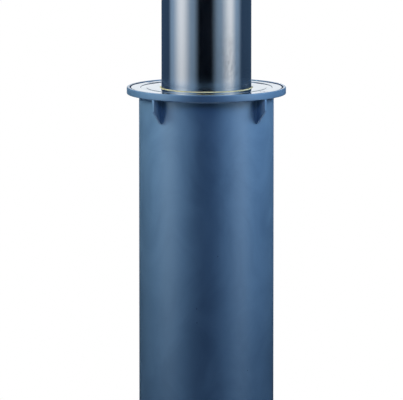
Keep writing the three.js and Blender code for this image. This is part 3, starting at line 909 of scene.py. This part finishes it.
class BuildCover(bpy.types.Operator):
    """Make the cover ring, the hub that holds the wiper, the wiper and the cover's screws"""

    bl_idname = "bollard.cover"
    bl_label = "Cover"

    def execute(self, context):
        sizes = context.scene.bollard_sizes
        self.plate(sizes)
        self.hub(sizes)
        self.wiper(sizes)
        self.screws()
        return {"FINISHED"}

    def plate(self, sizes):
        inside, outside = bore("cover_ring"), outer("cover_ring")
        bottom, top = low("cover_ring"), high("cover_ring")
        lap = outer("seal_carrier") + 0.4 * MM
        under = top - 1.2 * MM
        outline = [
            (lap, bottom), (outside, bottom), (outside, top), (inside, top), (inside, under), (lap, under),
        ]
        plate = spun("cover_plate", softened(outline, 0.35 * MM), sizes.facets)
        screw_at = centre("cover_screw_1").xy
        seat = 5.3 * MM
        hole = 2.8 * MM
        cutter = countersink(bottom, top, hole, seat)
        drilled(plate, cutter, 4, screw_at.length, math.atan2(screw_at.y, screw_at.x), finish_of("cover"))
        fit(plate, "cover", "casing", "cover_ring", slot="stainless")

    def hub(self, sizes):
        inside, outside = bore("seal_carrier"), outer("seal_carrier")
        bottom, top = low("seal_carrier"), high("seal_carrier")
        seat = low("cover_ring")
        clamped = top - 1.5 * MM
        step = 0.4 * MM
        edge = bore("cover_ring") - 0.4 * MM
        rim = edge - 7.2 * MM
        sleeve = inside + 8.8 * MM
        outline = [
            (inside + 2.8 * MM, bottom), (sleeve, bottom), (sleeve, seat), (outside, seat),
            (outside, clamped), (edge, clamped), (edge, top - step), (rim, top - step), (rim, top),
            (inside, top), (inside, top - 2 * MM), (inside + 2.8 * MM, top - 2 * MM),
        ]
        hub = spun("cover_hub", softened(outline, 0.25 * MM), sizes.facets)
        fit(hub, "cover", "casing", "seal_carrier", slot="stainless")

    def wiper(self, sizes):
        outside = outer("wiper_seal")
        lip = bore("wiper_seal")
        bottom, top = low("wiper_seal"), high("wiper_seal")
        edge = bore("seal_carrier") - CLEARANCE
        shoulder = high("cover_ring") - 2.3 * MM
        outline = [
            (lip + MM, bottom), (outside, bottom), (outside, shoulder), (edge, shoulder),
            (edge, top - 0.9 * MM), (lip + 0.6 * MM, top), (lip, top), (lip, shoulder - 2 * MM),
            (lip + MM, shoulder - 3 * MM),
        ]
        ring = spun("wiper_ring", softened(outline, 0.25 * MM), sizes.facets)
        fit(ring, "polyurethane", "casing", "wiper_seal")

    def screws(self):
        place = centre("cover_screw_1").xy
        item = screw("cover_screws", 5 * MM, 2.5 * MM, 1.8 * MM, 5.8 * MM, 1.75 * MM)
        angle = math.atan2(place.y, place.x)
        copied(item, 4, place.length, angle, high("cover_screw_1"), finish_of("cover"))
        nodes = [f"cover_screw_{i}" for i in (1, 2, 3, 4)]
        fit(item, "cover", "casing", *nodes, slot="stainless")


class BuildPost(bpy.types.Operator):
    """Make the post's tube and its reflective band"""

    bl_idname = "bollard.post"
    bl_label = "Post"

    def execute(self, context):
        sizes = context.scene.bollard_sizes
        inside, outside = bore("post_tube"), outer("post_tube")
        bottom, top = low("post_tube"), high("post_tube")
        band_low, band_high = low("reflective_band") - CLEARANCE, high("reflective_band") + CLEARANCE
        seat = outside - MM
        outline = [
            (inside, bottom), (outside, bottom), (outside, band_low), (seat, band_low),
            (seat, band_high), (outside, band_high), (outside, top), (inside, top),
        ]
        tube = spun("post_shell", softened(outline, 0.3 * MM), sizes.facets)
        slot = extruded("bolt_slot", self.slot_outline(), 2 * 8.6 * MM, edge=1.2 * MM)
        carved(tube, slot)
        fit(tube, "stainless", "post", "post_tube")
        film_in, film_out = bore("reflective_band"), outer("reflective_band")
        film_low, film_high = low("reflective_band"), high("reflective_band")
        band = [(film_in, film_low), (film_out, film_low), (film_out, film_high), (film_in, film_high)]
        sleeve = spun("reflective_sleeve", softened(band, 0.15 * MM), sizes.facets)
        fit(sleeve, "reflective_film", "post", "reflective_band")
        return {"FINISHED"}

    def slot_outline(self):
        """The windows for the two bolts, as one bar right through the post."""
        middle = low("latch_bolt_right") + 6 * MM
        half = 6.6 * MM
        reach = outer("casing_tube")
        below, above = middle - half, middle + half
        return [(-reach, below), (reach, below), (reach, above), (-reach, above)]


class BuildCap(bpy.types.Operator):
    """Make the cap with its gasket, screws, hinge pocket and finger notch"""

    bl_idname = "bollard.cap"
    bl_label = "Cap"

    def execute(self, context):
        sizes = context.scene.bollard_sizes
        self.top(sizes)
        self.gasket(sizes)
        self.screws()
        return {"FINISHED"}

    def top(self, sizes):
        top = high("post_cap")
        outside = outer("post_cap")
        joint = high("cap_gasket") + CLEARANCE
        spigot = bore("post_tube") - CLEARANCE
        bottom = low("post_cap")
        recess = outside - 33.55 * MM
        floor = top - 4.5 * MM
        barrel = outer("lock_barrel") + CLEARANCE
        shoulder = floor - 3 * MM
        body = [
            (16.3 * MM, bottom), (spigot, bottom), (spigot, joint), (outside, joint), (outside, top),
            (recess, top), (recess, floor), (barrel, floor), (barrel, shoulder), (16.3 * MM, shoulder),
        ]
        points = [Vector(p) for p in body]
        outline = softened(body[:4], 0.3 * MM)[2:-2]
        outline += arc(points[3], points[4], points[5], 5.5 * MM, steps=10)
        outline += arc(points[4], points[5], points[6], 0.5 * MM)
        outline += points[6:]
        cap = spun("cap_top", outline, sizes.facets)
        pin = centre("flap_pin")
        half, under = 9.3 * MM, pin.z - 4.7 * MM
        pocket_outline = [(-half, under), (half, under), (half, top + MM), (-half, top + MM)]
        pocket = extruded("pocket", pocket_outline, 16 * MM)
        moved(pocket, y=26 * MM)
        notch_outline = [(0, -6 * MM), (7 * MM, -6 * MM), (7 * MM, 6 * MM), (0, 6 * MM)]
        notch = spun("notch", softened(notch_outline, 2 * MM), 64)
        moved(notch, y=-(recess + 1.5 * MM), z=top + 3 * MM, turn=Matrix.Rotation(math.pi / 2, 4, "Y"))
        drill_outline = [(0, -13.5 * MM), (1.5 * MM, -13.5 * MM), (1.5 * MM, outside), (0, outside)]
        drill = spun("drill", drill_outline, 24)
        moved(drill, y=pin.y, z=pin.z, turn=Matrix.Rotation(math.pi / 2, 4, "Y"))
        carved(cap, pocket, notch, drill)
        screw_at = centre("cap_screw_1").xy
        seat, hole = 6.3 * MM, 3.3 * MM
        cutter = countersink(bottom, top, hole, seat)
        angle = math.atan2(screw_at.y, screw_at.x)
        drilled(cap, cutter, 3, screw_at.length, angle, finish_of("stainless"))
        fit(cap, "stainless", "post", "post_cap")

    def gasket(self, sizes):
        inside, outside = bore("cap_gasket"), outer("cap_gasket")
        bottom, top = low("cap_gasket"), high("cap_gasket")
        outline = [(inside, bottom), (outside, bottom), (outside, top), (inside, top)]
        fit(spun("cap_seal", softened(outline, 0.3 * MM), sizes.facets), "rubber", "post", "cap_gasket")

    def screws(self):
        place = centre("cap_screw_1").xy
        item = screw("cap_screws", 6 * MM, 3 * MM, 2.8 * MM, 36 * MM, 2.35 * MM)
        angle = math.atan2(place.y, place.x)
        copied(item, 3, place.length, angle, high("cap_screw_1"), finish_of("stainless"))
        fit(item, "stainless", "post", "cap_screw_1", "cap_screw_2", "cap_screw_3")


class BuildLock(bpy.types.Operator):
    """Make the lock's barrel, and the flap over it"""

    bl_idname = "bollard.lock"
    bl_label = "Lock"

    def execute(self, context):
        self.barrel()
        self.flap()
        return {"FINISHED"}

    def barrel(self):
        inside, flange = bore("lock_barrel"), outer("lock_barrel")
        bottom, top = low("lock_barrel"), high("lock_barrel")
        body = 16 * MM
        shoulder = top - 2.4 * MM
        outline = [
            (inside, bottom), (body, bottom), (body, shoulder),
            (flange, shoulder), (flange, top), (inside, top),
        ]
        fit(spun("barrel", softened(outline, 0.4 * MM), 96), "brass", "post", "lock_barrel")

    def flap(self):
        top = high("lock_flap")
        underside = top - 3.7 * MM
        radius = 22.6 * MM
        pin = centre("flap_pin")
        outline = [(0, underside), (radius, underside), (radius, top), (0, top)]
        lid = spun("flap_lid", softened(outline, 0.7 * MM), 128)
        half = 8.9 * MM
        tab_outline = [(-half, underside), (half, underside), (half, top), (-half, top)]
        tab = moved(extruded("tab", tab_outline, pin.y - 15 * MM, edge=0.5 * MM), y=(pin.y + 15 * MM) / 2)
        tube = [(1.5 * MM, -half), (2.9 * MM, -half), (2.9 * MM, half), (1.5 * MM, half)]
        knuckle = spun("knuckle", softened(tube, 0.3 * MM), 48)
        moved(knuckle, y=pin.y, z=pin.z, turn=Matrix.Rotation(math.pi / 2, 4, "Y"))
        fit(merged("lock_lid", lid, tab, knuckle), "cover", "flap", "lock_flap", slot="stainless")


class FinishInside(bpy.types.Operator):
    """Give each CAD piece that still shows the finish of its material slot"""

    bl_idname = "bollard.inside"
    bl_label = "Inner pieces"

    def execute(self, context):
        slots = {part["node"]: part["material_slot"] for part in frame["record"]["subparts"]}
        for name, piece in frame["nodes"].items():
            for place in piece.material_slots:
                place.material = finish_of(slots[name])
        return {"FINISHED"}


class BuildStage(bpy.types.Operator):
    """Make the camera, the floor, the light tent that the metal reflects, and the lights"""

    bl_idname = "bollard.stage"
    bl_label = "Studio"

    def execute(self, context):
        studio = context.scene.bollard_studio
        self.camera(context.scene, studio)
        self.world(context.scene)
        self.floor()
        self.tent(studio)
        self.lights()
        context.scene.view_settings.view_transform = "Standard"
        return {"FINISHED"}

    def camera(self, scene, studio):
        data = bpy.data.cameras.new("camera")
        camera = bpy.data.objects.new("camera", data)
        scene.collection.objects.link(camera)
        ground = high("top_flange")
        away = Vector((-math.sin(studio.turn), -math.cos(studio.turn), 0)) * studio.distance
        place = away + Vector((0, 0, ground + studio.distance * math.tan(studio.elevation)))
        right = Vector((math.cos(studio.turn), -math.sin(studio.turn), 0))
        target = Vector((0, 0, studio.aim)) - right * studio.aside
        camera.location = place - right * studio.aside
        camera.rotation_euler = (target - camera.location).to_track_quat("-Z", "Y").to_euler()
        data.lens = data.sensor_width * (target - camera.location).length / studio.picture
        data.clip_end = 200
        scene.camera = camera

    def world(self, scene):
        """White where the camera, metal and glass see it, and a soft level for everything else."""
        world = bpy.data.worlds.new("studio")
        scene.world = world
        world.use_nodes = True
        tree = world.node_tree
        tree.nodes.clear()
        path = node(tree, "ShaderNodeLightPath").outputs
        seen = maths(tree, "MAXIMUM", path["Is Camera Ray"], path["Is Glossy Ray"])
        seen = maths(tree, "MAXIMUM", seen, path["Is Transmission Ray"])
        soft = node(tree, "ShaderNodeBackground", {"Color": (*linear("#5f93f0"), 1), "Strength": 0.15})
        white = node(tree, "ShaderNodeBackground", {"Color": (1, 1, 1, 1), "Strength": 1.0})
        choice = {0: seen, 1: soft.outputs["Background"], 2: white.outputs["Background"]}
        both = node(tree, "ShaderNodeMixShader", choice)
        node(tree, "ShaderNodeOutputWorld", {"Surface": both.outputs["Shader"]})

    def floor(self):
        """A pale floor that fades to pure white away from the bollard."""
        radius = 14.0
        bm = bmesh.new()
        bmesh.ops.create_circle(bm, cap_ends=True, segments=96, radius=radius)
        bmesh.ops.translate(bm, verts=bm.verts, vec=(0, 0, -0.5 * MM))
        floor = object_of("floor", mesh_from("floor", bm))
        material, tree, shader, place = new_material("pale_floor")
        shader.inputs["Roughness"].default_value = 0.8
        path = node(tree, "ShaderNodeLightPath").outputs
        pale = ramp(tree, path["Is Diffuse Ray"], (0.0, linear("#f4f5f6")), (1.0, linear("#3a4048")))
        tree.links.new(pale, shader.inputs["Base Color"])
        far = gradient(tree, stretched(tree, place, 1.1, 1.1, 1.1), "SPHERICAL")
        glow = maths(tree, "MULTIPLY", path["Is Camera Ray"], ranged(tree, far, 0.0, 0.5, 1.0, 0.8))
        white = node(tree, "ShaderNodeEmission", {"Color": (1, 1, 1, 1), "Strength": 1.0})
        choice = {0: glow, 1: shader.outputs["BSDF"], 2: white.outputs["Emission"]}
        both = node(tree, "ShaderNodeMixShader", choice)
        output = next(n for n in tree.nodes if n.type == "OUTPUT_MATERIAL")
        tree.links.new(both.outputs["Shader"], output.inputs["Surface"])
        floor.data.materials.append(material)

    def tent(self, studio):
        """A ring of panels that only reflections see: soft boxes left and right, and dark flags between."""
        radius, bottom, top = 1.6, -0.3, 6.0
        outline = [(radius, bottom), (radius + 0.01, bottom), (radius + 0.01, top), (radius, top)]
        tent = spun("reflection_tent", outline, 96)
        material, tree, shader, place = new_material("tent_panels")
        tree.nodes.remove(shader)
        turned = node(
            tree,
            "ShaderNodeMapping",
            {"Vector": place, "Rotation": (0, 0, math.pi / 2 + studio.turn)},
        ).outputs["Vector"]
        bearing = gradient(tree, turned, "RADIAL")
        flag, grey, slate, box, navy = (
            linear(c) for c in ("#020409", "#8298ae", "#8ba3bc", "#f8faff", "#33475f")
        )
        white = (1, 1, 1)
        left = [
            (-180, white), (-171, white), (-165, navy), (-113, navy),
            (-97, slate), (-66, box), (-36, grey), (-15.5, flag),
        ]
        right = [
            (10, flag), (34, grey), (63, box), (84, slate),
            (103, navy), (165, navy), (171, white), (180, white),
        ]
        stops = [(0.5 + angle / 360, shade) for angle, shade in (*left, *right)]
        panels = ramp(tree, bearing, *stops)
        height = node(tree, "ShaderNodeSeparateXYZ", {"Vector": place}).outputs["Z"]
        level = ranged(tree, height, 0.2, 0.64, 0.12, 1.0)
        light = node(tree, "ShaderNodeEmission", {"Color": panels, "Strength": level})
        output = next(n for n in tree.nodes if n.type == "OUTPUT_MATERIAL")
        tree.links.new(light.outputs["Emission"], output.inputs["Surface"])
        tent.data.materials.append(material)
        tent.visible_camera = False
        tent.visible_diffuse = False
        tent.visible_shadow = False

    def lights(self):
        """A soft box on each side, one overhead, one behind, and a weak cool one in front."""
        self.area("left_box", -88, 1.1, 1.3, (0.5, 0.5), 7.8)
        self.area("right_box", 88, 1.1, 1.3, (0.5, 0.5), 10.5, "#dde8ff")
        self.area("rear_box", 180, 1.6, 1.5, (0.8, 0.8), 8)
        self.area("top_box", 0, 0.1, 2.2, (0.6, 0.6), 1.5)
        self.area("front_box", 0, 1.2, 1.5, (0.4, 0.3), 1.9, "#8fb2ff")

    def area(self, name, bearing, away, height, size, power, shade="#ffffff"):
        """An area light aimed at the bollard. Bearing is in degrees to the right of the camera."""
        studio = bpy.context.scene.bollard_studio
        data = bpy.data.lights.new(name, "AREA")
        data.shape = "RECTANGLE"
        data.size, data.size_y = size
        data.energy = power
        data.color = linear(shade)
        data.spread = math.radians(85)
        lamp = bpy.data.objects.new(name, data)
        bpy.context.scene.collection.objects.link(lamp)
        angle = math.radians(bearing) - math.pi / 2 - studio.turn
        lamp.location = (away * math.cos(angle), away * math.sin(angle), height)
        target = Vector((0, 0, 1.15))
        lamp.rotation_euler = (target - lamp.location).to_track_quat("-Z", "Y").to_euler()
        lamp.visible_camera = False
        lamp.visible_glossy = False


BUILDERS = (
    BuildStage, BuildCasing, BuildFlange, BuildCover, BuildPost, BuildCap, BuildLock, FinishInside,
)


class BollardPanel(bpy.types.Panel):
    """The settings and the operators, in the sidebar"""

    bl_idname = "VIEW3D_PT_bollard"
    bl_label = "Bollard"
    bl_space_type = "VIEW_3D"
    bl_region_type = "UI"
    bl_category = "Bollard"

    def draw(self, context):
        for group in ("bollard_sizes", "bollard_colours", "bollard_studio"):
            settings = getattr(context.scene, group)
            box = self.layout.box()
            for name in settings.bl_rna.properties.keys():
                if name not in ("rna_type", "name"):
                    box.prop(settings, name)
        for builder in BUILDERS:
            self.layout.operator(builder.bl_idname)


GROUPS = {"bollard_sizes": BollardSizes, "bollard_colours": BollardColours, "bollard_studio": BollardStudio}


def register():
    """Registers the settings, the operators and the panel."""
    for name, group in GROUPS.items():
        bpy.utils.register_class(group)
        setattr(bpy.types.Scene, name, bpy.props.PointerProperty(type=group))
    for builder in BUILDERS:
        bpy.utils.register_class(builder)
    bpy.utils.register_class(BollardPanel)


def unregister():
    """Takes back what register did."""
    bpy.utils.unregister_class(BollardPanel)
    for builder in reversed(BUILDERS):
        bpy.utils.unregister_class(builder)
    for name, group in GROUPS.items():
        delattr(bpy.types.Scene, name)
        bpy.utils.unregister_class(group)


def main():
    """Builds everything."""
    register()
    for builder in BUILDERS:
        group, name = builder.bl_idname.split(".")
        getattr(getattr(bpy.ops, group), name)()


if __name__ == "__main__":
    main()
